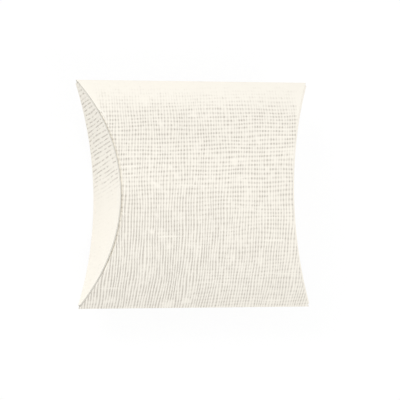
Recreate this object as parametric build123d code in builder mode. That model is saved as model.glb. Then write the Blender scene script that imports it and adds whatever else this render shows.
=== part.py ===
from build123d import *
import os

# Pillow box folded from one blank of card. The tube runs along X and lies on the belly of
# its back panel, with +Z up through the front belly and +Y away from the glued seam. The
# origin is on the ground under the middle of the box. All sizes are in millimetres.

# Driving dimensions of the closed box
box_length = 70.0  # along the tube, from corner to corner
box_height = 65.0  # across the tube, between the sharp corners of its two long folds
box_depth = 24.0  # from the back belly to the front belly
board = 0.4  # thickness of the card
fold_radius = 0.35  # outside radius of the two long folds

# Curved creases at both ends of the tube, measured along X from the corners
outer_crease_inset = 8.8  # to the outer flap's outside face, at the middle of the crease
inner_crease_inset = 9.8  # to the inner flap's, which lies behind the outer flap
crease_gap = 0.1  # between the end of a panel and the flap that turns there
crease_radius = 0.27  # rounding of an outer flap along its crease
crease_radius_limit_share = 0.7  # of the board, as far as a rounding or bevel may go

# Outer flaps: full lenses that close the ends, the left one on the back panel and the right
# one on the front panel
outer_edge_drop = 0.3  # how far the free edge stops short of the other belly's surface
outer_tip_trim = 1.2  # cut from each pointed tip, short of the box's corners

# Inner flaps: half lenses on the opposite panel, tucked behind the outer ones
inner_flap_width = 47.0  # shorter than the crease, so that its sides clear the outer flap
inner_corner_radius = 4.0
inner_crease_bevel = 0.2  # cut along its crease, which no one sees
mid_clearance = 0.1  # between its free edge and the middle level of the tube

# Glue flap: turned in from the back panel's lower edge, with tapered ends
glue_flap_reach = 8.0  # from the fold, seen from above
glue_flap_setback = 3.0  # of its ends from the box's corners, at the fold
glue_flap_taper = 6.5  # more than that at its free edge

# Line of glue between the glue flap and the front panel
glue_thickness = 0.1
glue_width = 4.0
glue_edge_margin = 1.2  # bare card between the glue and the glue flap's free edge
glue_end_margin = 2.0  # bare card past each end of the glue


def arc_radius(chord, rise):
    """Radius of the arc that rises by rise over chord."""
    return ((chord / 2) ** 2 + rise**2) / (2 * rise)


# Half sizes, and the level of the corners and long folds
half_length = box_length / 2
half_height = box_height / 2
mid_level = box_depth / 2

# Belly of the front panel; the back panel's is its mirror image
belly_radius = arc_radius(box_height, box_depth - mid_level)
front_belly_centre = box_depth - belly_radius
glue_flap_radius = belly_radius - board - glue_thickness

# Each panel ends in an arc through its corners, seen from above, and each flap is bent round
# the same centre as the panel end that it hangs on
outer_end_rise = outer_crease_inset + board + crease_gap
outer_end_radius = arc_radius(box_height, outer_end_rise)
outer_end_centre = half_length - outer_end_rise + outer_end_radius
outer_flap_radius = outer_end_radius - crease_gap
inner_end_rise = inner_crease_inset + board + crease_gap
inner_end_radius = arc_radius(box_height, inner_end_rise)
inner_end_centre = half_length - inner_end_rise + inner_end_radius
inner_flap_radius = inner_end_radius - crease_gap

# The right end is the left one turned half round about this axis
half_turn_axis = Axis((0, 0, mid_level), (0, 1, 0))
half_turn = 180.0

# Glue flap and glue line, seen from above
glue_flap_root = box_length - 2 * glue_flap_setback
glue_flap_edge = glue_flap_root - 2 * glue_flap_taper
glue_length = glue_flap_edge - 2 * glue_end_margin
glue_start = glue_flap_reach - glue_edge_margin - half_height


# Cross-section of the tube: the card's outside, and the hollow inside it
with BuildSketch(Plane.YZ.offset(-half_length)) as tube_outside:
    with BuildLine():
        ThreePointArc((-half_height, mid_level), (0, box_depth), (half_height, mid_level))
        ThreePointArc((half_height, mid_level), (0, 0), (-half_height, mid_level))
    make_face()
    fillet(tube_outside.vertices(), fold_radius)

with BuildSketch(Plane.YZ.offset(-half_length)) as tube_hollow:
    with Locations((0, front_belly_centre)):
        Circle(belly_radius - board)
    with Locations((0, box_depth - front_belly_centre)):
        Circle(belly_radius - board, mode=Mode.INTERSECT)

# Front panel, the face that shows, with an inner flap's crease at its left end and an outer
# flap's at its right end
with BuildPart() as front_panel:
    extrude(tube_outside.sketch, amount=box_length)
    extrude(tube_hollow.sketch, amount=box_length, mode=Mode.SUBTRACT)
    split(bisect_by=Plane.XY.offset(mid_level), keep=Keep.TOP)
    with BuildSketch() as front_ends:
        with Locations((-inner_end_centre, 0)):
            Circle(inner_end_radius)
        with Locations((outer_end_centre, 0)):
            Circle(outer_end_radius)
    extrude(amount=box_depth, mode=Mode.SUBTRACT)
front_panel.part.label = "front_panel"

# Back panel, which the box lies on, with the creases the other way round
with BuildPart() as back_panel:
    extrude(tube_outside.sketch, amount=box_length)
    extrude(tube_hollow.sketch, amount=box_length, mode=Mode.SUBTRACT)
    split(bisect_by=Plane.XY.offset(mid_level), keep=Keep.BOTTOM)
    with BuildSketch() as back_ends:
        with Locations((-outer_end_centre, 0)):
            Circle(outer_end_radius)
        with Locations((inner_end_centre, 0)):
            Circle(inner_end_radius)
    extrude(amount=box_depth, mode=Mode.SUBTRACT)
back_panel.part.label = "back_panel"

# Glue flap, which follows the inside of the front panel under a film of glue
with BuildPart() as glue_flap:
    extrude(tube_hollow.sketch, amount=box_length)
    with BuildSketch(Plane.YZ.offset(-half_length)) as glue_flap_curve:
        with Locations((0, front_belly_centre)):
            Circle(glue_flap_radius)
            Circle(glue_flap_radius - board, mode=Mode.SUBTRACT)
    extrude(amount=box_length, mode=Mode.INTERSECT)
    with BuildSketch() as glue_flap_plan:
        with BuildLine():
            Polyline(
                (-glue_flap_root / 2, -half_height),
                (glue_flap_root / 2, -half_height),
                (glue_flap_edge / 2, glue_flap_reach - half_height),
                (-glue_flap_edge / 2, glue_flap_reach - half_height),
                close=True,
            )
        make_face()
    extrude(amount=box_depth, mode=Mode.INTERSECT)
glue_flap.part.label = "glue_flap"

# Glue line, a film that fills the space between the glue flap and the front panel
with BuildPart() as glue_line:
    with BuildSketch() as glue_plan:
        with Locations((0, glue_start)):
            Rectangle(glue_length, glue_width, align=(Align.CENTER, Align.MAX))
    extrude(amount=box_depth)
    with BuildSketch(Plane.YZ.offset(-half_length)) as glue_curve:
        with Locations((0, front_belly_centre)):
            Circle(belly_radius - board)
            Circle(glue_flap_radius, mode=Mode.SUBTRACT)
    extrude(amount=box_length, mode=Mode.INTERSECT)
glue_line.part.label = "glue_line"

# Left outer flap: a curved wall along the back panel's crease, trimmed to the tube's lens
with BuildPart() as left_outer_flap:
    with BuildSketch() as outer_curve:
        with Locations((-outer_end_centre, 0)):
            Circle(outer_flap_radius)
            Circle(outer_flap_radius - board, mode=Mode.SUBTRACT)
        Rectangle(box_length, box_height - 2 * outer_tip_trim, mode=Mode.INTERSECT)
    extrude(amount=box_depth)
    with BuildSketch(Plane.YZ.offset(-half_length)) as outer_lens:
        with Locations((0, front_belly_centre - outer_edge_drop)):
            Circle(belly_radius)
        with Locations((0, box_depth - front_belly_centre)):
            Circle(belly_radius, mode=Mode.INTERSECT)
    extrude(amount=half_length, mode=Mode.INTERSECT)
    outer_root = left_outer_flap.edges().group_by(Axis.Z)[0].sort_by(Axis.X)[0]
    fillet(outer_root, min(crease_radius, crease_radius_limit_share * board))
left_outer_flap.part.label = "left_outer_flap"

# Left inner flap: the same kind of wall along the front panel's, down to the middle level
with BuildPart() as left_inner_flap:
    with BuildSketch() as inner_curve:
        with Locations((-inner_end_centre, 0)):
            Circle(inner_flap_radius)
            Circle(inner_flap_radius - board, mode=Mode.SUBTRACT)
        Rectangle(box_length, box_height, mode=Mode.INTERSECT)
    extrude(amount=box_depth)
    with BuildSketch(Plane.YZ.offset(-half_length)) as inner_lens:
        with Locations((0, mid_level + mid_clearance)):
            Rectangle(inner_flap_width, box_depth, align=(Align.CENTER, Align.MIN))
        fillet(inner_lens.vertices().group_by(Axis.Z)[0], inner_corner_radius)
        with Locations((0, front_belly_centre)):
            Circle(belly_radius, mode=Mode.INTERSECT)
    extrude(amount=half_length, mode=Mode.INTERSECT)
    inner_root = left_inner_flap.edges().group_by(Axis.Z)[-1].sort_by(Axis.X)[0]
    chamfer(inner_root, min(inner_crease_bevel, crease_radius_limit_share * board))
left_inner_flap.part.label = "left_inner_flap"

# The flaps of the right end
with BuildPart() as right_outer_flap:
    add(left_outer_flap.part.rotate(half_turn_axis, half_turn))
right_outer_flap.part.label = "right_outer_flap"

with BuildPart() as right_inner_flap:
    add(left_inner_flap.part.rotate(half_turn_axis, half_turn))
right_inner_flap.part.label = "right_inner_flap"

pieces = (
    front_panel,
    back_panel,
    glue_flap,
    glue_line,
    left_outer_flap,
    left_inner_flap,
    right_outer_flap,
    right_inner_flap,
)
os.makedirs("parts", exist_ok=True)
for piece in pieces:
    export_step(piece.part, f"parts/{piece.part.label}.step")
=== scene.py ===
"""A pillow box of linen-embossed card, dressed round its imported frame, in a plain studio.

The box lies on the belly of its back panel. X runs along the tube, Y across it and away from the
glued seam, and Z up through the front belly. Each sheet of card carries a map of the flat blank
that it was cut from, in millimetres, so that the emboss runs on across folds and creases.
"""

import logging
import math
from dataclasses import dataclass
from enum import Enum
from typing import Callable, Dict, Optional, Sequence, Tuple, Union

import bmesh
import bpy
from mathutils import Matrix, Vector


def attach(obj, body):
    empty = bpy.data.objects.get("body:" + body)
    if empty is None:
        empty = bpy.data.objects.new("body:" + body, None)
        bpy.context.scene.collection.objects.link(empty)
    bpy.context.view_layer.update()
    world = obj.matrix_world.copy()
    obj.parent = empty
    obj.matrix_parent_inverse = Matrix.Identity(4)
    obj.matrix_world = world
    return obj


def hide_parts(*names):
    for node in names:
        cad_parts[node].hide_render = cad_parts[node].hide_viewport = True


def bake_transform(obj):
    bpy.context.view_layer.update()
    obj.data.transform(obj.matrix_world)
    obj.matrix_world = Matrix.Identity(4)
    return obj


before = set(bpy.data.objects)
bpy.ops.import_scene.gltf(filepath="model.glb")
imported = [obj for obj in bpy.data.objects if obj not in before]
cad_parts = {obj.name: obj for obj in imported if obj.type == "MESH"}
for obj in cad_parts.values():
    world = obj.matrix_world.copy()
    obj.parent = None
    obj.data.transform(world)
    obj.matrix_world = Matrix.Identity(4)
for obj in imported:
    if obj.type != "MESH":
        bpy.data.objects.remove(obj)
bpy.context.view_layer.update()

MM = 0.001
WHITE = (1.0, 1.0, 1.0, 1.0)
Colour = Tuple[float, float, float]
Pair = Tuple[float, float]
log = logging.getLogger("pillow_box")

# What a sheet of card tells its material: a map and two attributes of its points
BLANK_MAP = "blank"
EMBOSS = "emboss"
RIBS = "ribs"

# Share of the way to a row that lies just inside it, and the cut rows of a sheet that hangs on
# its first row
JUST_INSIDE = 0.999
HANGING = (-JUST_INSIDE, 1.0)


class Side(Enum):
    """An end of the tube, by the sign of its X."""

    LEFT = -1
    RIGHT = 1


class Face(Enum):
    """A panel of the tube, by the sign of its belly's Z from the middle level."""

    BACK = -1
    FRONT = 1

    @property
    def panel(self) -> str:
        """Name of the panel's node."""
        return f"{self.name.lower()}_panel"


class FlapKind(Enum):
    """A flap of one end, as its node's name has it."""

    OUTER = "outer"
    INNER = "inner"


def smooth_step(low: float, high: float, value: float) -> float:
    """Rises smoothly from 0 at low to 1 at high.

    Args:
        low: Where the rise starts.
        high: Where it ends.
        value: Where it is read.

    Returns:
        A share from 0 to 1.
    """
    share = min(1.0, max(0.0, (value - low) / (high - low)))
    return share * share * (3.0 - 2.0 * share)


def arc_radius(chord: float, rise: float) -> float:
    """Radius of the arc that rises by rise over chord."""
    return ((chord / 2.0) ** 2 + rise**2) / (2.0 * rise)


def no_bulge(across: float) -> float:
    """Bulge of a flap that stays as its crease bends it, whatever the Y."""
    return 0.0


def stand_for(piece: bpy.types.Object, node: str) -> None:
    """Puts a finished piece in the place of a node of the frame.

    Args:
        piece: The piece.
        node: The node.
    """
    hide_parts(node)
    log.info("%s stands for %s", piece.name, node)


@dataclass(frozen=True)
class BoxShape:
    """Driving sizes of the closed box, in metres, and what follows from them.

    Attributes:
        length: Along the tube, from corner to corner.
        height: Across the tube, between the sharp corners of its long folds.
        depth: From the back belly to the front belly.
        board: Thickness of the card.
        fold_radius: Outside radius of the long folds.
        crease_gap: Between a panel and the flap that turns on it.
        outer_inset: From the corners to an outer flap's outside, at the middle of its crease.
        inner_inset: The same for an inner flap, which lies behind it.
        inner_half_width: Half the width of an inner flap.
    """

    length: float = 70.0 * MM
    height: float = 65.0 * MM
    depth: float = 24.0 * MM
    board: float = 0.4 * MM
    fold_radius: float = 0.35 * MM
    crease_gap: float = 0.1 * MM
    outer_inset: float = 8.8 * MM
    inner_inset: float = 9.8 * MM
    inner_half_width: float = 23.5 * MM

    @property
    def middle(self) -> float:
        """Level of the corners and the long folds."""
        return self.depth / 2.0

    @property
    def belly_radius(self) -> float:
        """Outside radius of both bellies."""
        return arc_radius(self.height, self.depth - self.middle)

    @property
    def belly_drop(self) -> float:
        """How far a belly's centre lies past the middle level."""
        return self.belly_radius - self.middle

    @property
    def fold_centre(self) -> float:
        """Distance of a fold's centre from the middle of the tube."""
        return math.sqrt((self.belly_radius - self.fold_radius) ** 2 - self.belly_drop**2)

    @property
    def fold_angle(self) -> float:
        """Lean of the card where the belly meets a fold."""
        return math.asin(self.fold_centre / (self.belly_radius - self.fold_radius))

    @property
    def fold_length(self) -> float:
        """Path along the card from the top of a belly to the crown of a fold."""
        belly = self.belly_radius * self.fold_angle
        return belly + self.fold_radius * (math.pi / 2.0 - self.fold_angle)

    def belly(self, across: float, face: Face, depth_in: float = 0.0) -> float:
        """Level of a belly's surface.

        Args:
            across: Y of the point.
            face: Which panel.
            depth_in: How far below the card's outside the surface lies.

        Returns:
            Its Z.
        """
        rise = math.sqrt((self.belly_radius - depth_in) ** 2 - across**2) - self.belly_drop
        return self.middle + face.value * rise

    def section(self, lean: float) -> Tuple[float, float, float]:
        """A point of the tube's outside, from the lean of the card there.

        Args:
            lean: Angle of the outward direction from upright, from a quarter turn one way at
                one fold to a quarter turn the other way at the other.

        Returns:
            Its Y, its height above the middle level, and its path from the top of the belly.
        """
        sign = math.copysign(1.0, lean)
        if abs(lean) <= self.fold_angle:
            across = self.belly_radius * math.sin(lean)
            height = self.belly_radius * math.cos(lean) - self.belly_drop
            return across, height, self.belly_radius * lean
        across = sign * self.fold_centre + self.fold_radius * math.sin(lean)
        path = self.belly_radius * self.fold_angle
        path += self.fold_radius * (abs(lean) - self.fold_angle)
        return across, self.fold_radius * math.cos(lean), sign * path

    def blank_row(self, path: float, face: Face) -> float:
        """Place across the flat blank of a point on a panel.

        Args:
            path: Along the card from the top of the panel's belly.
            face: Which panel.

        Returns:
            The place, in millimetres from the middle of the front panel.
        """
        if face is Face.FRONT:
            return path / MM
        return (2.0 * self.fold_length - path) / MM


@dataclass(frozen=True)
class EndCurve:
    """A curved crease at the ends of one panel: an arc through the corners, seen from above.

    Attributes:
        box: The box that it belongs to.
        inset: From the corners to the flap's outside, at the middle of the crease.
    """

    box: BoxShape
    inset: float

    @property
    def bend(self) -> float:
        """From the panel's end to the flap's outside."""
        return self.box.board + self.box.crease_gap

    @property
    def radius(self) -> float:
        """Radius of the panel's end."""
        return arc_radius(self.box.height, self.inset + self.bend)

    @property
    def centre(self) -> float:
        """Distance of the arc's centre from the middle of the box."""
        return self.box.length / 2.0 - self.inset - self.bend + self.radius

    def reach(self, across: float, past: float = 0.0) -> float:
        """Distance along the tube from its middle to the arc.

        Args:
            across: Y at which it is read.
            past: How far past the panel's end the arc lies.

        Returns:
            The distance, the same at both ends of the tube.
        """
        return self.centre - math.sqrt((self.radius - past) ** 2 - across**2)

    def point(self, angle: float, past: float = 0.0) -> Tuple[float, float]:
        """Distance along the tube and Y of a point on the arc, at an angle about its centre."""
        radius = self.radius - past
        return self.centre - radius * math.cos(angle), radius * math.sin(angle)


class Wire:
    """What a shader node puts out. A sum with numbers or other wires adds Math nodes."""

    def __init__(self, bench: "Bench", socket: bpy.types.NodeSocket) -> None:
        """Keeps the socket and the bench that its node stands on."""
        self.bench = bench
        self.socket = socket

    def __add__(self, other: "Term") -> "Wire":
        """Sum."""
        return self.bench.math("ADD", self, other)

    def __sub__(self, other: "Term") -> "Wire":
        """Difference."""
        return self.bench.math("SUBTRACT", self, other)

    def __rsub__(self, other: float) -> "Wire":
        """Difference, from a number."""
        return self.bench.math("SUBTRACT", other, self)

    def __mul__(self, other: "Term") -> "Wire":
        """Product."""
        return self.bench.math("MULTIPLY", self, other)

    def __truediv__(self, other: "Term") -> "Wire":
        """Quotient."""
        return self.bench.math("DIVIDE", self, other)

    def __pow__(self, other: "Term") -> "Wire":
        """Power."""
        return self.bench.math("POWER", self, other)

    __radd__ = __add__
    __rmul__ = __mul__


Term = Union[Wire, float]
Input = Union[Wire, float, Sequence[float]]


class Bench:
    """The node tree of one material or world, and the tools to wire it with."""

    def __init__(self, owner: Union[bpy.types.Material, bpy.types.World]) -> None:
        """Empties the owner's node tree.

        Args:
            owner: The material or world.
        """
        owner.use_nodes = True
        self.tree = owner.node_tree
        self.tree.nodes.clear()

    def node(
        self,
        kind: str,
        settings: Optional[Dict[str, object]] = None,
        inputs: Optional[Dict[Union[int, str], Input]] = None,
        output: Union[int, str, None] = 0,
    ) -> Optional[Wire]:
        """Adds a node.

        Args:
            kind: Its type.
            settings: What is chosen on the node itself, before its sockets are touched.
            inputs: Values or wires of its sockets, by name or number.
            output: The socket that is handed on, if any.

        Returns:
            That socket's wire.
        """
        made = self.tree.nodes.new(kind)
        for name, value in (settings or {}).items():
            setattr(made, name, value)
        for key, value in (inputs or {}).items():
            if isinstance(value, Wire):
                self.tree.links.new(value.socket, made.inputs[key])
            else:
                made.inputs[key].default_value = value
        return None if output is None else Wire(self, made.outputs[output])

    def math(self, operation: str, *terms: Term) -> Wire:
        """Adds a Math node for up to three numbers or wires."""
        return self.node("ShaderNodeMath", {"operation": operation}, dict(enumerate(terms)))

    def attribute(self, name: str) -> Wire:
        """An attribute of the sheet's points."""
        return self.node("ShaderNodeAttribute", {"attribute_name": name}, None, "Fac")

    def spot(self, along: Term, across: Term, seed: float) -> Wire:
        """Joins two places and a seed to a vector."""
        return self.node("ShaderNodeCombineXYZ", None, {0: along, 1: across, 2: seed})

    def noise(self, place: Wire, scale: float = 1.0, detail: float = 1.0) -> Wire:
        """Smooth noise from 0 to 1 at a place, broken up more finely by more detail."""
        inputs = {"Vector": place, "Scale": scale, "Detail": detail}
        return self.node("ShaderNodeTexNoise", {"noise_dimensions": "3D"}, inputs)

    def between(self, share: Wire, first: float, last: float) -> Wire:
        """A straight run from first at share 0 to last at share 1."""
        return share * (last - first) + first

    def rise(self, value: Wire, low: float, high: float, least: float = 0.0, most: float = 1.0) -> Wire:
        """A smooth rise of value from least at low to most at high."""
        inputs = {"Value": value, 1: low, 2: high, 3: least, 4: most}
        return self.node("ShaderNodeMapRange", {"interpolation_type": "SMOOTHSTEP"}, inputs)

    def tint(self, share: Wire, low: Colour, high: Colour) -> Wire:
        """Mixes two colours.

        Args:
            share: How far the mix goes from the first to the second.
            low: The first colour.
            high: The second.

        Returns:
            The mix.
        """
        # The node has several sockets of the same name, and these numbers are its colours'
        first, second, result = 6, 7, 2
        settings = {"data_type": "RGBA", "clamp_factor": True}
        inputs = {0: share, first: (*low, 1.0), second: (*high, 1.0)}
        return self.node("ShaderNodeMix", settings, inputs, result)

    def bump(self, height: Wire, distance: float) -> Wire:
        """Turns a height from 0 to 1 into a normal, for a relief of that distance."""
        return self.node("ShaderNodeBump", None, {"Height": height, "Distance": distance})

    def seen_directly(self) -> Wire:
        """Tells the rays that come from the camera, also by way of metal or glass.

        Returns:
            1 for them and 0 for all others.
        """
        camera, glossy, glass = (
            self.node("ShaderNodeLightPath", None, None, f"Is {kind} Ray")
            for kind in ("Camera", "Glossy", "Transmission")
        )
        return self.math("MAXIMUM", self.math("MAXIMUM", camera, glossy), glass)

    def finish(self, shader: Wire, kind: str = "ShaderNodeOutputMaterial") -> None:
        """Joins the shader to the tree's output."""
        self.node(kind, None, {"Surface": shader}, None)

    def surface(self, colour: Wire, roughness: Wire, normal: Wire, specular: float) -> None:
        """Finishes a material that reflects light.

        Args:
            colour: Its colour.
            roughness: Its roughness.
            normal: Its relief.
            specular: How strongly it shines.
        """
        inputs = {
            "Base Color": colour,
            "Roughness": roughness,
            "Specular IOR Level": specular,
            "Normal": normal,
        }
        self.finish(self.node("ShaderNodeBsdfPrincipled", None, inputs, "BSDF"))


@dataclass(frozen=True)
class Threads:
    """The grooves that one set of parallel threads leaves in the card.

    Attributes:
        pitch: From groove to groove, in millimetres.
        wander: How far a groove strays from its line, as a share of the pitch.
        stray_length: Distance across the threads over which that changes, in millimetres.
        slub_length: Length of a deep or faint stretch, in millimetres.
        faint_share: Depth of the faintest stretches, as a share of the deepest.
        sharpness: Power that narrows a groove.
        seed: Picks the pattern.
        stray_stretch: How many times slower the straying changes along the threads.
        slub_step: Sets each groove's slubs apart from its neighbours'.
        slub_seed: Sets the slubs apart from the straying.
        slub_detail: How finely the slubs are broken up.
        slub_noise: Noise up to which a stretch is faintest, and from which it is deepest.
    """

    pitch: float
    wander: float
    stray_length: float
    slub_length: float
    faint_share: float
    sharpness: float
    seed: float
    stray_stretch: float = 3.0
    slub_step: float = 7.31
    slub_seed: float = 7.0
    slub_detail: float = 2.0
    slub_noise: Pair = (0.34, 0.58)

    def press(self, bench: Bench, across: Wire, along: Wire) -> Wire:
        """Adds the nodes of the grooves.

        Args:
            bench: Where the nodes stand.
            across: Place across the threads, in millimetres.
            along: Place along them, in millimetres.

        Returns:
            Their depth, from 0 on a thread to 1 between two.
        """
        along_stray = along / self.stray_length / self.stray_stretch
        stray = bench.noise(bench.spot(across / self.stray_length, along_stray, self.seed))
        line = across / self.pitch + (stray - 0.5) * (2.0 * self.wander)
        number = bench.math("ROUND", line)
        slub_place = bench.spot(
            number * self.slub_step, along / self.slub_length, self.seed + self.slub_seed
        )
        slub = bench.noise(slub_place, detail=self.slub_detail)
        weight = bench.rise(slub, *self.slub_noise, self.faint_share, 1.0)
        groove = bench.math("COSINE", (line - number) * (2.0 * math.pi)) * 0.5 + 0.5
        return groove**self.sharpness * weight


@dataclass(frozen=True)
class Patches:
    """Smooth noise over the flat blank.

    Attributes:
        length: Size of a patch along the tube, in millimetres.
        width: Its size across the tube.
        seed: Picks the pattern.
        detail: How finely it is broken up.
    """

    length: float
    width: float
    seed: float
    detail: float = 1.0

    def spread(self, bench: Bench, along: Wire, across: Wire) -> Wire:
        """Adds the nodes of the noise, which goes from 0 to 1."""
        place = bench.spot(along / self.length, across / self.width, self.seed)
        return bench.noise(place, detail=self.detail)

    def sway(self, bench: Bench, along: Wire, across: Wire, swing: float) -> Wire:
        """Adds the nodes of the noise about 0, with a swing from its lowest to its highest."""
        return (self.spread(bench, along, across) - 0.5) * swing


@dataclass(frozen=True)
class FaintPlaces:
    """Places where the emboss has come out faint.

    Attributes:
        patches: Their pattern.
        noise: Noise up to which they are faintest, and from which the emboss is whole.
        left: What is left of the emboss where they are faintest.
    """

    patches: Patches
    noise: Pair
    left: float

    def strength(self, bench: Bench, along: Wire, across: Wire) -> Wire:
        """Adds the nodes of what is left of the emboss, up to 1."""
        return bench.rise(self.patches.spread(bench, along, across), *self.noise, self.left, 1.0)


@dataclass(frozen=True)
class LinenEmboss:
    """The linen texture that is pressed into the blank.

    Towards the upper fold the grooves are faint and the pits where they cross stand out, like
    the holes of canvas. Towards the seam the grooves that run across the tube take over, and on
    its right half those that run along it break them up. On the flaps the latter leave ribs.
    Since the grooves also darken the card's colour, this change is partly painted light and
    shade: it paints the front lighter towards the upper fold, which turns to the light, and
    darker towards the seam.
    Places are in millimetres on the blank, and depths are shares of the whole relief.

    Attributes:
        crossing: The threads that run across the tube.
        ridges: The same threads where they alone show, with longer slubs.
        lengthwise: The threads that run along the tube.
        skew: Sideways run of the threads across the tube for each step across it, beside the
            seam and beside the other fold.
        skew_rows: From where to where across the blank the first becomes the second.
        slope: Sideways run of the threads along the tube for each step along it.
        upper_rows: From where to where across the blank the seam's side becomes the upper one.
        pit_depth: Of the pits where threads cross, on the seam's side and on the upper one.
        ridge_depth: Of the grooves across the tube, on both sides.
        row_depth: Of the grooves along it, on both sides.
        broken_columns: From where to where along the blank the ridges come to be broken up.
        broken_border: Makes these places stray.
        broken_stray: How far they stray.
        broken_share: How much of a ridge's groove is lost where it is broken up.
        broken_depth: Added there to the depth of the grooves along the tube.
        rib_cover: How much of the other grooves is lost to ribs.
        rib_depth: Added between ribs to the depth of the grooves along the tube.
        rib_sharpness: Power that narrows these grooves.
        border: Pressing at which the emboss starts, and at which it is whole.
        ragged: Makes its border ragged.
        ragged_swing: How much the pressing varies there.
        faint: Where it has come out faint.
    """

    crossing: Threads = Threads(0.82, 1.0, 5.0, 1.7, 0.4, 1.8, 1.0)
    ridges: Threads = Threads(0.82, 1.0, 5.0, 5.0, 0.5, 1.8, 1.0)
    lengthwise: Threads = Threads(1.24, 0.9, 7.0, 2.2, 0.3, 1.8, 4.0)
    skew: Pair = (-0.03, 0.1)
    skew_rows: Pair = (-25.0, 25.0)
    slope: float = 0.03
    upper_rows: Pair = (-18.0, 12.0)
    pit_depth: Pair = (0.35, 0.83)
    ridge_depth: Pair = (0.68, 0.34)
    row_depth: Pair = (0.03, 0.21)
    broken_columns: Pair = (-8.0, 12.0)
    broken_border: Patches = Patches(14.0, 14.0, 9.0)
    broken_stray: float = 30.0
    broken_share: float = 0.3
    broken_depth: float = 0.06
    rib_cover: float = 0.85
    rib_depth: float = 0.45
    rib_sharpness: float = 2.2
    border: Pair = (0.1, 1.0)
    ragged: Patches = Patches(1.7, 1.7, 8.0, 2.0)
    ragged_swing: float = 0.8
    faint: Tuple[FaintPlaces, ...] = (
        FaintPlaces(Patches(6.0, 6.0, 2.0, 2.0), (0.27, 0.38), 0.3),
        FaintPlaces(Patches(16.0, 1.3, 6.0), (0.24, 0.34), 0.35),
    )

    def woven(self, ribs: Wire) -> Wire:
        """How much of the weave the ribs leave."""
        return 1.0 - ribs * self.rib_cover

    def grooves(self, bench: Bench, along: Wire, across: Wire, ribs: Wire) -> Wire:
        """Adds the nodes of all grooves together.

        Args:
            bench: Where the nodes stand.
            along: Place along the blank.
            across: Place across it.
            ribs: How far the ribs have taken over, from 0 to 1.

        Returns:
            Their depth where the emboss is whole.
        """
        leant = along - across * bench.rise(across, *self.skew_rows, *self.skew)
        crossing = self.crossing.press(bench, leant, across)
        ridges = self.ridges.press(bench, leant, across)
        lengthwise = self.lengthwise.press(bench, across - along * self.slope, along)
        woven = self.woven(ribs)
        # The depths change from the seam's side to the upper one, which through the grooves' colour
        # also paints the upper side lighter and the seam's side darker, as painted light and shade
        upper = bench.rise(across, *self.upper_rows)
        stray = self.broken_border.sway(bench, along, across, self.broken_stray)
        broken = bench.rise(along + stray, *self.broken_columns)
        pits = crossing * lengthwise * bench.between(upper, *self.pit_depth) * woven
        lines = ridges * bench.between(upper, *self.ridge_depth) * woven
        lines = lines * (1.0 - broken * (1.0 - lengthwise) * self.broken_share)
        deepest = bench.between(upper, *self.row_depth)
        deepest = deepest + broken * self.broken_depth + ribs * self.rib_depth
        rows = lengthwise ** bench.between(ribs, 1.0, self.rib_sharpness) * deepest
        return 1.0 - (1.0 - pits) * (1.0 - lines) * (1.0 - rows)

    def strength(self, bench: Bench, along: Wire, across: Wire) -> Wire:
        """Adds the nodes of how far the emboss has come out.

        Args:
            bench: Where the nodes stand.
            along: Place along the blank.
            across: Place across it.

        Returns:
            A share from 0, where the card is smooth, to 1.
        """
        ragged = self.ragged.sway(bench, along, across, self.ragged_swing)
        strength = bench.rise(bench.attribute(EMBOSS) + ragged, *self.border)
        for places in self.faint:
            strength = strength * places.strength(bench, along, across)
        return strength


@dataclass(frozen=True)
class EmbossedCard:
    """The outside of the card, with its emboss.

    Attributes:
        emboss: What is pressed into it.
        crest: Colour of the card.
        hollow: Colour in the grooves, where less light gets in.
        roughness: On the crests, and in the grooves.
        specular: How strongly it shines.
        relief: Depth of the emboss.
        groove_shade: How far the deepest groove takes the hollow's colour.
        weave_shade: How far the weave as a whole takes it.
        mottle: Pattern of the card's uneven tone.
        mottle_shade: Swing of that tone.
        fibre_grain: Fibres to a millimetre.
        fibre_detail: How finely they are broken up.
        fibre_seed: Picks their pattern.
        fibre_relief: Their relief, as a share of the emboss's.
    """

    emboss: LinenEmboss = LinenEmboss()
    crest: Colour = (0.93, 0.89, 0.805)
    hollow: Colour = (0.4, 0.36, 0.31)
    roughness: Pair = (0.72, 0.84)
    specular: float = 0.3
    relief: float = 0.17 * MM
    groove_shade: float = 0.85
    weave_shade: float = 0.02
    mottle: Patches = Patches(11.0, 11.0, 5.0, 2.0)
    mottle_shade: float = 0.1
    fibre_grain: float = 9.0
    fibre_detail: float = 3.0
    fibre_seed: float = 3.0
    fibre_relief: float = 0.04

    def material(self) -> bpy.types.Material:
        """Makes the material, which follows the map of the flat blank.

        Returns:
            The material.
        """
        material = bpy.data.materials.new("linen_card_outside")
        bench = Bench(material)
        place = bench.node("ShaderNodeUVMap", {"uv_map": BLANK_MAP})
        along = bench.node("ShaderNodeSeparateXYZ", None, {0: place}, "X")
        across = bench.node("ShaderNodeSeparateXYZ", None, {0: place}, "Y")
        ribs = bench.attribute(RIBS)
        strength = self.emboss.strength(bench, along, across)
        depth = self.emboss.grooves(bench, along, across, ribs) * strength
        weave = strength * self.emboss.woven(ribs)
        mottle = self.mottle.sway(bench, along, across, self.mottle_shade)
        shade = depth * self.groove_shade + weave * self.weave_shade + mottle
        colour = bench.tint(bench.math("MAXIMUM", shade, 0.0), self.crest, self.hollow)
        fibre_place = bench.spot(along, across, self.fibre_seed)
        fibre = bench.noise(fibre_place, self.fibre_grain, self.fibre_detail)
        normal = bench.bump(1.0 - depth + fibre * self.fibre_relief, self.relief)
        bench.surface(colour, bench.between(depth, *self.roughness), normal, self.specular)
        return material


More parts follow.
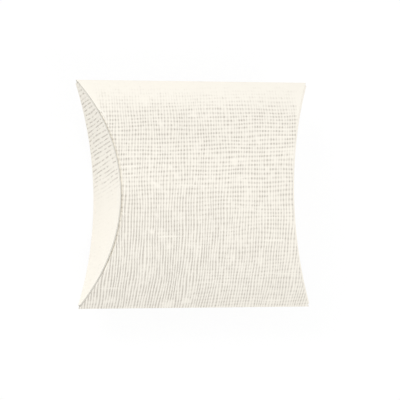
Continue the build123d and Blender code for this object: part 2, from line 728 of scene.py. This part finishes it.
@dataclass(frozen=True)
class BareCard:
    """A plain side or a cut edge of the card, which shows its fibres.

    Attributes:
        name: Name of its material.
        colour: Its colour.
        grain: Fibres to a millimetre.
        relief: Depth of the fibres.
        shade: Colour between the fibres, as a share of the card's.
        fibre_share: How much of the shade follows the fibres. Wider clouds have the rest.
        fibre_detail: How finely the fibres are broken up.
        cloud_grain: Clouds to a millimetre.
        cloud_detail: How finely the clouds are broken up.
        roughness: Between the fibres, and on them.
        specular: How strongly it shines.
    """

    name: str
    colour: Colour
    grain: float
    relief: float
    shade: float = 0.93
    fibre_share: float = 0.6
    fibre_detail: float = 3.0
    cloud_grain: float = 0.12
    cloud_detail: float = 2.0
    roughness: Pair = (0.8, 0.95)
    specular: float = 0.25

    def material(self) -> bpy.types.Material:
        """Makes the material.

        Returns:
            The material.
        """
        material = bpy.data.materials.new(self.name)
        bench = Bench(material)
        place = bench.node("ShaderNodeTexCoord", None, None, "Object")
        fibre = bench.noise(place, self.grain / MM, self.fibre_detail)
        cloud = bench.noise(place, self.cloud_grain / MM, self.cloud_detail)
        share = fibre * self.fibre_share + cloud * (1.0 - self.fibre_share)
        darker = tuple(channel * self.shade for channel in self.colour)
        colour = bench.tint(share, darker, self.colour)
        roughness = bench.between(fibre, *self.roughness)
        bench.surface(colour, roughness, bench.bump(fibre, self.relief), self.specular)
        return material


@dataclass(frozen=True)
class LinenCard:
    """Ivory card with a linen texture pressed into its outside.

    Attributes:
        outside: Its embossed side.
        inside: Its plain side.
        cut_edge: Its die-cut edge, greyer than the faces: partly the cut card's own grey, partly
            painted shade of the narrow gap along the curved creases, where the edge shows.
    """

    outside: EmbossedCard = EmbossedCard()
    inside: BareCard = BareCard("linen_card_inside", (0.88, 0.85, 0.775), 3.0, 0.01 * MM)
    # The cut edge's grey is partly painted shade of the gap along the curved creases
    cut_edge: BareCard = BareCard("linen_card_cut_edge", (0.7, 0.675, 0.615), 6.0, 0.02 * MM)

    def materials(self) -> Tuple[bpy.types.Material, ...]:
        """The three materials, in the order that a sheet takes them."""
        return self.outside.material(), self.inside.material(), self.cut_edge.material()


@dataclass(frozen=True)
class DriedGlue:
    """A film of dried white glue, uneven and a little glossy.

    Attributes:
        thick: Colour where it lies thick.
        thin: Colour where it thins out.
        grain: Smears to a millimetre.
        detail: How finely they are broken up.
        roughness: Where it is thin, and where it is thick.
        specular: How strongly it shines.
        relief: Depth of the smears.
    """

    thick: Colour = (0.78, 0.75, 0.66)
    thin: Colour = (0.66, 0.62, 0.52)
    grain: float = 0.9
    detail: float = 3.0
    roughness: Pair = (0.3, 0.6)
    specular: float = 0.5
    relief: float = 0.03 * MM

    def material(self) -> bpy.types.Material:
        """Makes the material.

        Returns:
            The material.
        """
        material = bpy.data.materials.new("dried_glue_film")
        bench = Bench(material)
        place = bench.node("ShaderNodeTexCoord", None, None, "Object")
        smear = bench.noise(place, self.grain / MM, self.detail)
        colour = bench.tint(smear, self.thin, self.thick)
        roughness = bench.between(smear, *self.roughness)
        bench.surface(colour, roughness, bench.bump(smear, self.relief), self.specular)
        return material


@dataclass(frozen=True)
class SheetPoint:
    """A point of a sheet's outside.

    Attributes:
        place: Where it is.
        blank: Its place on the flat blank, in millimetres.
        emboss: How much of the emboss is left there, from 0 to 1.
        ribs: How far the threads along the tube outdo the others there, from 0 to 1.
    """

    place: Vector
    blank: Pair
    emboss: float
    ribs: float = 0.0


@dataclass(frozen=True)
class CardSheet:
    """A sheet laid on a curved face, with its thickness behind it.

    Attributes:
        name: Name of the piece.
        columns: Cells one way.
        rows: Cells the other way.
        lay: Gives a point of the outside from the grid's two shares, each from -1 to 1.
        outward: Roughly the way that its outside faces.
        thickness: Of the sheet.
        cut_rows: From which row to which its outline is a cut edge, as shares. Past them it is
            joined to other card.
        cut_softening: Rounding of its cut edges.
        softening_steps: Facets of that rounding.
    """

    name: str
    columns: int
    rows: int
    lay: Callable[[float, float], SheetPoint]
    outward: Vector
    thickness: float
    cut_rows: Pair = (-1.0, 1.0)
    cut_softening: float = 0.05 * MM
    softening_steps: int = 2

    def build(self, materials: Sequence[bpy.types.Material]) -> bpy.types.Object:
        """Makes the piece.

        Args:
            materials: Of its outside, its inside and its cut edge, or one for all.

        Returns:
            The piece's object, at the origin.
        """
        mesh = bpy.data.meshes.new(self.name)
        sheet = bmesh.new()
        bmesh.ops.create_grid(sheet, x_segments=self.columns, y_segments=self.rows, size=1.0)
        blank = sheet.loops.layers.uv.new(BLANK_MAP)
        pressed = sheet.verts.layers.float.new(EMBOSS)
        ribbed = sheet.verts.layers.float.new(RIBS)
        softened = sheet.edges.layers.float.new("bevel_weight_edge")
        for edge in sheet.edges:
            edge[softened] = float(edge.is_boundary and self.is_cut(edge))
        points = {vert: self.lay(vert.co.x, vert.co.y) for vert in sheet.verts}
        for vert, point in points.items():
            vert.co = point.place
            vert[pressed] = point.emboss
            vert[ribbed] = point.ribs
        for cell in sheet.faces:
            cell.smooth = True
            for loop in cell.loops:
                loop[blank].uv = points[loop.vert].blank
        sheet.normal_update()
        if sum(cell.normal.dot(self.outward) for cell in sheet.faces) < 0.0:
            bmesh.ops.reverse_faces(sheet, faces=sheet.faces)
        sheet.to_mesh(mesh)
        sheet.free()
        for material in materials:
            mesh.materials.append(material)
        piece = bpy.data.objects.new(self.name, mesh)
        bpy.context.scene.collection.objects.link(piece)
        self.thicken(piece, len(materials))
        return piece

    def is_cut(self, edge: bmesh.types.BMEdge) -> bool:
        """Whether an edge of the flat grid lies between its cut rows."""
        first, last = self.cut_rows
        return all(first <= vert.co.y <= last for vert in edge.verts)

    def thicken(self, piece: bpy.types.Object, sides: int) -> None:
        """Gives the sheet its thickness and softens its cut edges.

        Args:
            piece: The sheet's object.
            sides: How many materials it has. Its inside takes the second and its cut edge the
                last.
        """
        wall = piece.modifiers.new("board", "SOLIDIFY")
        wall.thickness = self.thickness
        wall.offset = -1.0
        wall.use_even_offset = True
        wall.material_offset = min(1, sides - 1)
        wall.material_offset_rim = sides - 1
        edges = piece.modifiers.new("cut_edges", "BEVEL")
        edges.limit_method = "WEIGHT"
        edges.width = self.cut_softening
        edges.segments = self.softening_steps
        edges.harden_normals = False


@dataclass(frozen=True)
class Tube:
    """The front and the back panel, which meet at both long folds.

    Attributes:
        box: Sizes of the box.
        outer_end: Crease of an outer flap.
        inner_end: Crease of an inner flap.
        run_on_gap: Left between an outer flap and a panel that runs on beside an inner one.
        run_on_start: Width beside the inner flap over which the panel comes to run on.
        run_on_stop: Width beside a fold over which it ceases to.
        fold_fade: From where to where the emboss grows, from the long fold opposite the seam.
        It starts before the fold, so that a little of it is left there. Its long rise also
        paints the upper part of the belly lighter, a painted highlight where it turns to the light.
        seam_fade: The same from the seam's fold.
        corner_flat: How far from a curved crease it starts, beside the fold opposite the seam.
        corner_rows: From which Y to which that grows from nothing.
        corner_shares: From which share of that distance to which the emboss grows.
        corner_overrun: Lets the emboss reach the crease where that distance is nothing.
        columns: Cells along the tube.
        belly_rows: Cells across a panel's belly.
        fold_rows: Cells round its part of each fold.
    """

    box: BoxShape
    outer_end: EndCurve
    inner_end: EndCurve
    run_on_gap: float = 0.08 * MM
    run_on_start: float = 0.6 * MM
    run_on_stop: float = 1.6 * MM
    fold_fade: Pair = (-4.0 * MM, 18.0 * MM)
    seam_fade: Pair = (-0.2 * MM, 0.6 * MM)
    corner_flat: float = 4.0 * MM
    corner_rows: Pair = (18.0 * MM, 34.0 * MM)
    corner_shares: Pair = (0.3, 1.2)
    corner_overrun: float = 0.1 * MM
    columns: int = 150
    belly_rows: int = 112
    fold_rows: int = 6

    def lean(self, share: float) -> float:
        """Lean of the card at a share of a panel's rows, with most rows on the belly.

        Args:
            share: Place between the folds, from -1 to 1.

        Returns:
            Angle of the outward direction from upright.
        """
        half_belly = self.belly_rows / 2.0
        row = abs(share) * (half_belly + self.fold_rows)
        on_belly = min(row, half_belly) / half_belly
        on_fold = max(0.0, row - half_belly) / self.fold_rows
        angle = on_belly * self.box.fold_angle + on_fold * (math.pi / 2.0 - self.box.fold_angle)
        return math.copysign(angle, share)

    def inner_reach(self, across: float) -> float:
        """Distance from the middle of the box to a panel's end with an inner flap.

        Beside that flap the panel runs on to the line of the crease, as far as the outer flap
        leaves room.

        Args:
            across: Y at which it is read.

        Returns:
            The distance, the same at both ends of the tube.
        """
        end = self.inner_end.reach(across)
        beyond = self.outer_end.reach(across, self.box.crease_gap)
        room = max(0.0, beyond - end - self.run_on_gap)
        width = abs(across)
        flap_side = self.box.inner_half_width
        beside = smooth_step(flap_side - self.run_on_start, flap_side, width)
        fold = self.box.fold_centre
        corner = smooth_step(fold - self.run_on_stop, fold, width)
        return end + room * beside * (1.0 - corner)

    def panel(self, face: Face) -> CardSheet:
        """One of the two panels.

        Args:
            face: Which panel.

        Returns:
            Its sheet.
        """

        def lay(along_share: float, row_share: float) -> SheetPoint:
            """A point of the panel's outside.

            Args:
                along_share: Place between its ends, from -1 to 1.
                row_share: Place between its folds, from -1 to 1.

            Returns:
                The point.
            """
            across, height, path = self.box.section(self.lean(row_share))
            has_inner_flap = (face is Face.FRONT) == (along_share < 0.0)
            end = self.inner_reach(across) if has_inner_flap else self.outer_end.reach(across)
            along = along_share * end
            # The long fade from the upper fold partly paints that side lighter, as a painted highlight
            fade = self.fold_fade if path > 0.0 else self.seam_fade
            beside_fold = smooth_step(*fade, self.box.fold_length - abs(path))
            margin = self.corner_flat * smooth_step(*self.corner_rows, across)
            smooth, whole = (margin * share for share in self.corner_shares)
            beside_end = smooth_step(smooth - self.corner_overrun, whole, end - abs(along))
            return SheetPoint(
                Vector((along, across, self.box.middle + face.value * height)),
                (along / MM, self.box.blank_row(path, face)),
                beside_fold * beside_end,
            )

        name = f"{face.panel}_card"
        rows = self.belly_rows + 2 * self.fold_rows
        outward = Vector((0.0, 0.0, face.value))
        cut = JUST_INSIDE * self.belly_rows / rows
        return CardSheet(name, self.columns, rows, lay, outward, self.box.board, (-cut, cut))

    def build(self, card: Sequence[bpy.types.Material]) -> None:
        """Makes both panels, which ride on the tube's body.

        Args:
            card: Materials of the card.
        """
        for face in (Face.FRONT, Face.BACK):
            piece = self.panel(face).build(card)
            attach(piece, "tube")
            stand_for(piece, face.panel)


@dataclass(frozen=True)
class GlueSeam:
    """The glue flap, which turns in from the back panel, and the film of glue on it.

    Attributes:
        box: Sizes of the box.
        reach: From the fold to the glue flap's free edge.
        start: From the fold to its first row, which the fold hides.
        setback: Of its ends from the corners, at the fold.
        taper: More than that, at its free edge.
        flap_cells: Its cells along the tube, and across it.
        film: Thickness of the film of glue.
        film_width: Width of the film.
        edge_margin: Bare card between the film and the glue flap's free edge.
        end_margin: Bare card past each end of the film.
        film_cells: Its cells along the tube, and across it.
        swing: How far the film's outline is drawn in on average.
        swing_share: How much more or less that is where its long sides swing.
        long_wave: Their swing's angle from the middle to an end, in radians.
        short_wave: The same of smaller swings on top.
        short_start: Angle at which these start.
        short_share: Their height, as a share of the others'.
        end_wave: Angle of its ends' swing from the middle to a side, in radians.
    """

    box: BoxShape
    reach: float = 8.0 * MM
    start: float = 1.0 * MM
    setback: float = 3.0 * MM
    taper: float = 6.5 * MM
    flap_cells: Tuple[int, int] = (120, 16)
    film: float = 0.1 * MM
    film_width: float = 4.0 * MM
    edge_margin: float = 1.2 * MM
    end_margin: float = 2.0 * MM
    film_cells: Tuple[int, int] = (140, 10)
    swing: float = 0.25 * MM
    swing_share: float = 0.4
    long_wave: float = 23.0
    short_wave: float = 57.0
    short_start: float = 1.3
    short_share: float = 0.6
    end_wave: float = 2.7

    def glue_flap(self) -> CardSheet:
        """The glue flap, which follows the inside of the front panel under the glue.

        Returns:
            Its sheet.
        """
        depth_in = self.box.board + self.film
        root = self.box.length / 2.0 - self.setback
        fold = -self.box.height / 2.0
        blank_fold = 3.0 * self.box.fold_length

        def lay(along_share: float, row_share: float) -> SheetPoint:
            """A point of the glue flap's outside.

            Args:
                along_share: Place between its ends, from -1 to 1.
                row_share: Place between its fold and its free edge, from -1 to 1.

            Returns:
                The point.
            """
            out = self.start + (self.reach - self.start) * (row_share + 1.0) / 2.0
            across = fold + out
            along = along_share * (root - self.taper * out / self.reach)
            level = self.box.belly(across, Face.FRONT, depth_in)
            blank = (along / MM, (blank_fold + out) / MM)
            return SheetPoint(Vector((along, across, level)), blank, 1.0)

        outward = Vector((0.0, 0.0, 1.0))
        board = self.box.board
        return CardSheet("glue_flap_card", *self.flap_cells, lay, outward, board, HANGING)

    def glue_line(self) -> CardSheet:
        """The film of glue between the glue flap and the front panel, with an uneven outline.

        Returns:
            Its sheet.
        """
        half_width = self.film_width / 2.0
        middle = self.reach - self.edge_margin - self.box.height / 2.0 - half_width
        half_length = self.box.length / 2.0 - self.setback - self.taper - self.end_margin

        def lay(along_share: float, row_share: float) -> SheetPoint:
            """A point of the film's upper side.

            Args:
                along_share: Place between its ends, from -1 to 1.
                row_share: Place between its long sides, from -1 to 1.

            Returns:
                The point.
            """
            wave = math.sin(along_share * self.long_wave)
            wave += self.short_share * math.sin(along_share * self.short_wave + self.short_start)
            side = self.swing * (1.0 + self.swing_share * wave)
            across = middle + row_share * (half_width - side)
            end = self.swing * (1.0 + math.sin(row_share * self.end_wave))
            along = along_share * (half_length - end)
            level = self.box.belly(across, Face.FRONT, self.box.board)
            return SheetPoint(Vector((along, across, level)), (along / MM, across / MM), 0.0)

        outward = Vector((0.0, 0.0, 1.0))
        return CardSheet(
            "glue_line_film", *self.film_cells, lay, outward, self.film, cut_softening=self.film / 4.0
        )

    def build(self, card: Sequence[bpy.types.Material], glue: bpy.types.Material) -> None:
        """Makes the glue flap and the film, which ride on the tube's body.

        Args:
            card: Materials of the card.
            glue: Material of the glue.
        """
        pieces = (
            (self.glue_flap().build(card), "glue_flap", "linen_card"),
            (self.glue_line().build((glue,)), "glue_line", "dried_glue"),
        )
        for piece, node, slot in pieces:
            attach(piece, "tube")
            stand_for(piece, node)


@dataclass(frozen=True)
class EndFlap:
    """A flap that hangs on a curved crease at one end of one panel.

    Attributes:
        box: Sizes of the box.
        kind: Outer or inner.
        crease: The crease.
        side: End of the tube.
        panel: The panel that it hangs on.
        half_width: Half its width across the tube.
        edge_height: How far its free edge lies past the middle level, seen from its panel, from
            Y.
        bulge: How far the card swells out below the crease, from Y.
        crease_wear: How much of the emboss its crease flattens, from 0 to 1.
        crease_flat: From where to where the emboss grows, from the crease.
        crease_line: Where the crease lies on the bend, as a share of its reach.
        edge_flat: From where to where it grows, from the cut free edge.
        thread_lean: Sideways run of its threads for each step from the crease.
        rib_rise: From where to where its ribs grow, from the panel's end.
        faint_emboss: What is left of the emboss on its half beside the seam. With fewer dark grooves
            that half comes out lighter, partly a painted highlight where the flap faces the light.
        faint_rows: From which Y to which that grows to the whole.
        swell_rise: From where to where below the crease the card swells out.
        swell_fall: From where to where it goes back.
        bend_path: Length of the bend's curve, as a share of its reach.
        curl_run: Share of its curl along the tube, and share from its panel to the other. Not used.
        curl_start: How far from the crease it would start to curl. Not used.
        curl_share: How far towards its free edge it would curl. Not used.
        columns: Cells across the tube.
        bend_rows: Cells round the bend.
        face_rows: Cells from there to its free edge.
    """

    box: BoxShape
    kind: FlapKind
    crease: EndCurve
    side: Side
    panel: Face
    half_width: float
    edge_height: Callable[[float], float]
    bulge: Callable[[float], float]
    crease_wear: float
    crease_flat: Pair = (0.3 * MM, 1.0 * MM)
    crease_line: float = 0.8
    edge_flat: Pair = (0.1 * MM, 0.9 * MM)
    thread_lean: float = 0.13
    rib_rise: Pair = (0.2 * MM, 1.6 * MM)
    faint_emboss: float = 0.22
    faint_rows: Pair = (-3.0 * MM, 10.0 * MM)
    swell_rise: Pair = (0.35 * MM, 0.75 * MM)
    swell_fall: Pair = (0.9 * MM, 2.6 * MM)
    bend_path: float = 1.62
    curl_run: Pair = (0.9, 0.43)
    curl_start: float = 0.3 * MM
    curl_share: float = 0.9
    columns: int = 120
    bend_rows: int = 8
    face_rows: int = 44

    @property
    def name(self) -> str:
        """Name of its node."""
        return f"{self.side.name.lower()}_{self.kind.value}_flap"

    def emboss(self, across: float, path: float, edge_gap: float) -> float:
        """How much of the emboss is left at a point of the flap.

        Args:
            across: Y of the point.
            path: Along the card from the panel's end.
            edge_gap: Height between the point and the free edge.

        Returns:
            A share from 0 to 1.
        """
        beside_crease = smooth_step(*self.crease_flat, path - self.crease_line * self.crease.bend)
        left = 1.0 - self.crease_wear + self.crease_wear * beside_crease
        left *= smooth_step(*self.edge_flat, edge_gap)
        # The faint half beside the seam is partly painted light: with few grooves it comes out lighter,
        # where the flap faces the light
        upper = smooth_step(*self.faint_rows, across)
        return left * (self.faint_emboss + (1.0 - self.faint_emboss) * upper)

    def lay(self, across_share: float, row_share: float) -> SheetPoint:
        """A point of the flap's outside.

        The first rows bend from the panel's end over to the flap, and the others run down the
        flap to its free edge.

        Args:
            across_share: Place between its sides, from -1 to 1.
            row_share: Place between its crease and its free edge, from -1 to 1.

        Returns:
            The point.
        """
        bend = self.crease.bend
        widest = math.asin(self.half_width / (self.crease.radius - bend))
        angle = across_share * widest
        end, end_across = self.crease.point(angle)
        reach, across = self.crease.point(angle, bend)
        start = Vector((end, end_across, self.box.belly(end_across, self.panel)))
        corner = Vector((reach, across, self.box.belly(across, self.panel)))
        turned = corner - Vector((0.0, 0.0, self.panel.value * bend))
        level = self.box.middle - self.panel.value * self.edge_height(across)
        edge = Vector((reach, across, level))
        row = (row_share + 1.0) / 2.0 * (self.bend_rows + self.face_rows)
        share = min(1.0, row / self.bend_rows)
        place = start.lerp(corner, share).lerp(corner.lerp(turned, share), share)
        path = share * self.bend_path * bend
        if row > self.bend_rows:
            place = turned.lerp(edge, (row - self.bend_rows) / self.face_rows)
            path += (place - turned).length
        drop = abs(place.z - start.z)
        swell = smooth_step(*self.swell_rise, drop) * (1.0 - smooth_step(*self.swell_fall, drop))
        place.x += swell * self.bulge(across)
        place.x *= self.side.value
        lean = math.asin(end_across / self.box.belly_radius)
        blank_row = self.box.blank_row(self.box.belly_radius * lean, self.panel)
        blank_row -= self.panel.value * self.thread_lean * path / MM
        return SheetPoint(
            place,
            (self.side.value * (end + path) / MM, blank_row),
            self.emboss(across, path, abs(edge.z - place.z)),
            smooth_step(*self.rib_rise, path),
        )

    def hang(self, piece: bpy.types.Object) -> None:
        """Works out where the flap would curl, which nothing uses, and bakes its placement into its
        mesh.

        Args:
            piece: The finished flap.
        """
        run, drop = self.curl_run
        slant = Vector((-run * self.side.value, 0.0, -drop * self.panel.value)).normalized()
        corner = Vector((self.side.value * self.box.length / 2.0, 0.0, self.box.middle))
        crease = (self.lay(0.0, -1.0).place - corner).dot(slant) + self.curl_start
        edge = (self.lay(0.0, 1.0).place - corner).dot(slant)
        start = corner + slant * crease
        end = start + slant * ((edge - crease) * self.curl_share)
        self.name
        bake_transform(piece)

    def build(self, card: Sequence[bpy.types.Material]) -> None:
        """Makes the flap on its crease and bakes its placement.

        Args:
            card: Materials of the card.
        """
        name = f"{self.name}_card"
        outward = Vector((self.side.value, 0.0, 0.0))
        rows = self.bend_rows + self.face_rows
        sheet = CardSheet(name, self.columns, rows, self.lay, outward, self.box.board, HANGING)
        piece = sheet.build(card)
        self.hang(piece)
        stand_for(piece, self.name)


@dataclass(frozen=True)
class End:
    """One closed end of the tube: an outer flap over an inner one.

    At the left the outer flap hangs on the back panel, and at the right on the front panel.

    Attributes:
        box: Sizes of the box.
        outer_end: Crease of the outer flap.
        inner_end: Crease of the inner flap.
        side: Which end.
        outer_edge_drop: How far the outer flap stops short of the other belly.
        outer_tip_trim: Cut from its pointed tips.
        inner_corner: Radius of the inner flap's free corners.
        middle_clearance: Between its free edge and the middle level.
        bulge_gap: Left between its swollen crease and the outer flap.
    """

    box: BoxShape
    outer_end: EndCurve
    inner_end: EndCurve
    side: Side
    outer_edge_drop: float = 0.3 * MM
    outer_tip_trim: float = 1.2 * MM
    inner_corner: float = 4.0 * MM
    middle_clearance: float = 0.1 * MM
    bulge_gap: float = 0.1 * MM

    def outer_edge(self, across: float) -> float:
        """How far past the middle level the outer flap's free edge lies."""
        return self.box.belly(across, Face.FRONT) - self.box.middle - self.outer_edge_drop

    def inner_edge(self, across: float) -> float:
        """How far past the middle level the inner flap's free edge lies.

        Args:
            across: Y at which it is read.

        Returns:
            The distance, never above 0 because the flap stops short of that level.
        """
        past = max(0.0, abs(across) - self.box.inner_half_width + self.inner_corner)
        rounding = math.sqrt(max(0.0, self.inner_corner**2 - past**2))
        return rounding - self.inner_corner - self.middle_clearance

    def inner_bulge(self, across: float) -> float:
        """How far the inner flap swells out at its crease, towards the outer flap.

        Args:
            across: Y at which it is read.

        Returns:
            The distance, up to the gap that is left.
        """
        outer_inside = self.outer_end.reach(across, self.box.crease_gap)
        inner_outside = self.inner_end.reach(across, self.inner_end.bend)
        return max(0.0, outer_inside - inner_outside - self.bulge_gap)

    def build(self, card: Sequence[bpy.types.Material]) -> None:
        """Makes both flaps.

        Args:
            card: Materials of the card.
        """
        is_left = self.side is Side.LEFT
        outer = EndFlap(
            box=self.box,
            kind=FlapKind.OUTER,
            crease=self.outer_end,
            side=self.side,
            panel=Face.BACK if is_left else Face.FRONT,
            half_width=self.box.height / 2.0 - self.outer_tip_trim,
            edge_height=self.outer_edge,
            bulge=no_bulge,
            crease_wear=1.0,
        )
        inner = EndFlap(
            box=self.box,
            kind=FlapKind.INNER,
            crease=self.inner_end,
            side=self.side,
            panel=Face.FRONT if is_left else Face.BACK,
            half_width=self.box.inner_half_width,
            edge_height=self.inner_edge,
            bulge=self.inner_bulge,
            crease_wear=0.0,
            faint_emboss=1.0,
        )
        for flap in (outer, inner):
            flap.build(card)


@dataclass(frozen=True)
class Lamp:
    """A wide soft panel lamp that faces the box.

    Attributes:
        name: Its name.
        direction: From the box towards it.
        power: In watts.
        distance: From the box.
        size: Its width.
    """

    name: str
    direction: Tuple[float, float, float]
    power: float
    distance: float = 1.2
    size: float = 0.5

    def hang(self, target: Vector) -> None:
        """Hangs the lamp.

        Args:
            target: The place that it faces.
        """
        data = bpy.data.lights.new(self.name, "AREA")
        data.shape = "SQUARE"
        data.size = self.size
        data.energy = self.power
        lamp = bpy.data.objects.new(self.name, data)
        towards = Vector(self.direction).normalized()
        lamp.location = target + towards * self.distance
        lamp.rotation_mode = "QUATERNION"
        lamp.rotation_quaternion = towards.to_track_quat("Z", "Y")
        bpy.context.scene.collection.objects.link(lamp)


@dataclass(frozen=True)
class Studio:
    """Camera, lamps and floor.

    Attributes:
        box: Sizes of the box that it shows.
        turn: How far the camera stands to the left of the box's middle, in degrees.
        tilt: How far it stands towards the seam, in degrees.
        roll: How far it is rolled, in degrees.
        distance: From the camera to the box.
        aside: How far the box's middle lies to the right in the picture.
        above: How far it lies up in the picture.
        lens: Focal length of the camera, in millimetres.
        film: Width of its film, in millimetres.
        nearest: Distance from the camera at which things start to show.
        sky: Strength of the light from all sides.
        key: The lamp at the upper left.
        fill: A weaker one at the lower right.
        floor_size: Width of the floor.
        floor_colour: Its colour.
        floor_white: Strength of the white that the camera sees on it.
        floor_glow: Share of that white. The rest is the floor's colour, with the box's shadow.
    """

    box: BoxShape
    turn: float = 20.33
    tilt: float = 2.0
    roll: float = 0.7
    distance: float = 0.9976
    aside: float = -1.83 * MM
    above: float = 1.6 * MM
    lens: float = 315.0
    film: float = 36.0
    nearest: float = 0.01
    sky: float = 0.7
    key: Lamp = Lamp("key_lamp", (-0.6, 0.48, 0.58), 5.75)
    fill: Lamp = Lamp("fill_lamp", (0.45, -0.62, 0.64), 3.7)
    floor_size: float = 8.0
    floor_colour: Colour = (0.82, 0.82, 0.82)
    floor_white: float = 1.03
    floor_glow: float = 0.88

    def place_camera(self) -> None:
        """Sets the camera where the photograph was taken from."""
        data = bpy.data.cameras.new("photo_camera")
        data.lens = self.lens
        data.sensor_width = self.film
        data.clip_start = self.nearest
        camera = bpy.data.objects.new("photo_camera", data)
        seen = Matrix.Rotation(math.radians(self.roll), 3, "Z")
        seen = seen @ Matrix.Rotation(math.radians(-self.tilt), 3, "X")
        seen = seen @ Matrix.Rotation(math.radians(self.turn), 3, "Y")
        back = seen.transposed()
        offset = back @ Vector((-self.aside, -self.above, self.distance))
        centre = Vector((0.0, 0.0, self.box.middle))
        camera.matrix_world = Matrix.Translation(centre + offset) @ back.to_4x4()
        bpy.context.scene.collection.objects.link(camera)
        bpy.context.scene.camera = camera

    def light_sky(self) -> None:
        """Lights the box evenly from all sides, in front of a white background."""
        world = bpy.data.worlds.new("studio")
        bpy.context.scene.world = world
        bench = Bench(world)
        strength = bench.rise(bench.seen_directly(), 0.0, 1.0, self.sky, 1.0)
        inputs = {"Color": WHITE, "Strength": strength}
        sky = bench.node("ShaderNodeBackground", None, inputs, "Background")
        bench.finish(sky, "ShaderNodeOutputWorld")

    def lay_floor(self) -> None:
        """Lays a pale floor that looks white and keeps the box's shadow."""
        material = bpy.data.materials.new("studio_floor")
        bench = Bench(material)
        pale = {"Color": (*self.floor_colour, 1.0)}
        matte = bench.node("ShaderNodeBsdfDiffuse", None, pale, "BSDF")
        white = {"Color": WHITE, "Strength": self.floor_white}
        glow = bench.node("ShaderNodeEmission", None, white, "Emission")
        share = bench.seen_directly() * self.floor_glow
        shader = bench.node("ShaderNodeMixShader", None, {0: share, 1: matte, 2: glow}, "Shader")
        bench.finish(shader)
        mesh = bpy.data.meshes.new("studio_floor")
        shape = bmesh.new()
        bmesh.ops.create_grid(shape, x_segments=1, y_segments=1, size=self.floor_size / 2.0)
        shape.to_mesh(mesh)
        shape.free()
        mesh.materials.append(material)
        floor = bpy.data.objects.new("studio_floor", mesh)
        bpy.context.scene.collection.objects.link(floor)

    def build(self) -> None:
        """Sets up the whole studio."""
        self.place_camera()
        for lamp in (self.key, self.fill):
            lamp.hang(Vector((0.0, 0.0, self.box.middle)))
        self.light_sky()
        self.lay_floor()
        bpy.context.scene.view_settings.view_transform = "Standard"
        log.info("studio is set up")


def main() -> None:
    """Builds the studio, the tube, its seam and both ends."""
    box = BoxShape()
    outer_end = EndCurve(box, box.outer_inset)
    inner_end = EndCurve(box, box.inner_inset)
    card = LinenCard().materials()
    Studio(box).build()
    Tube(box, outer_end, inner_end).build(card)
    GlueSeam(box).build(card, DriedGlue().material())
    for side in Side:
        End(box, outer_end, inner_end, side).build(card)


if __name__ == "__main__":
    logging.basicConfig(level=logging.INFO, format="%(message)s")
    main()
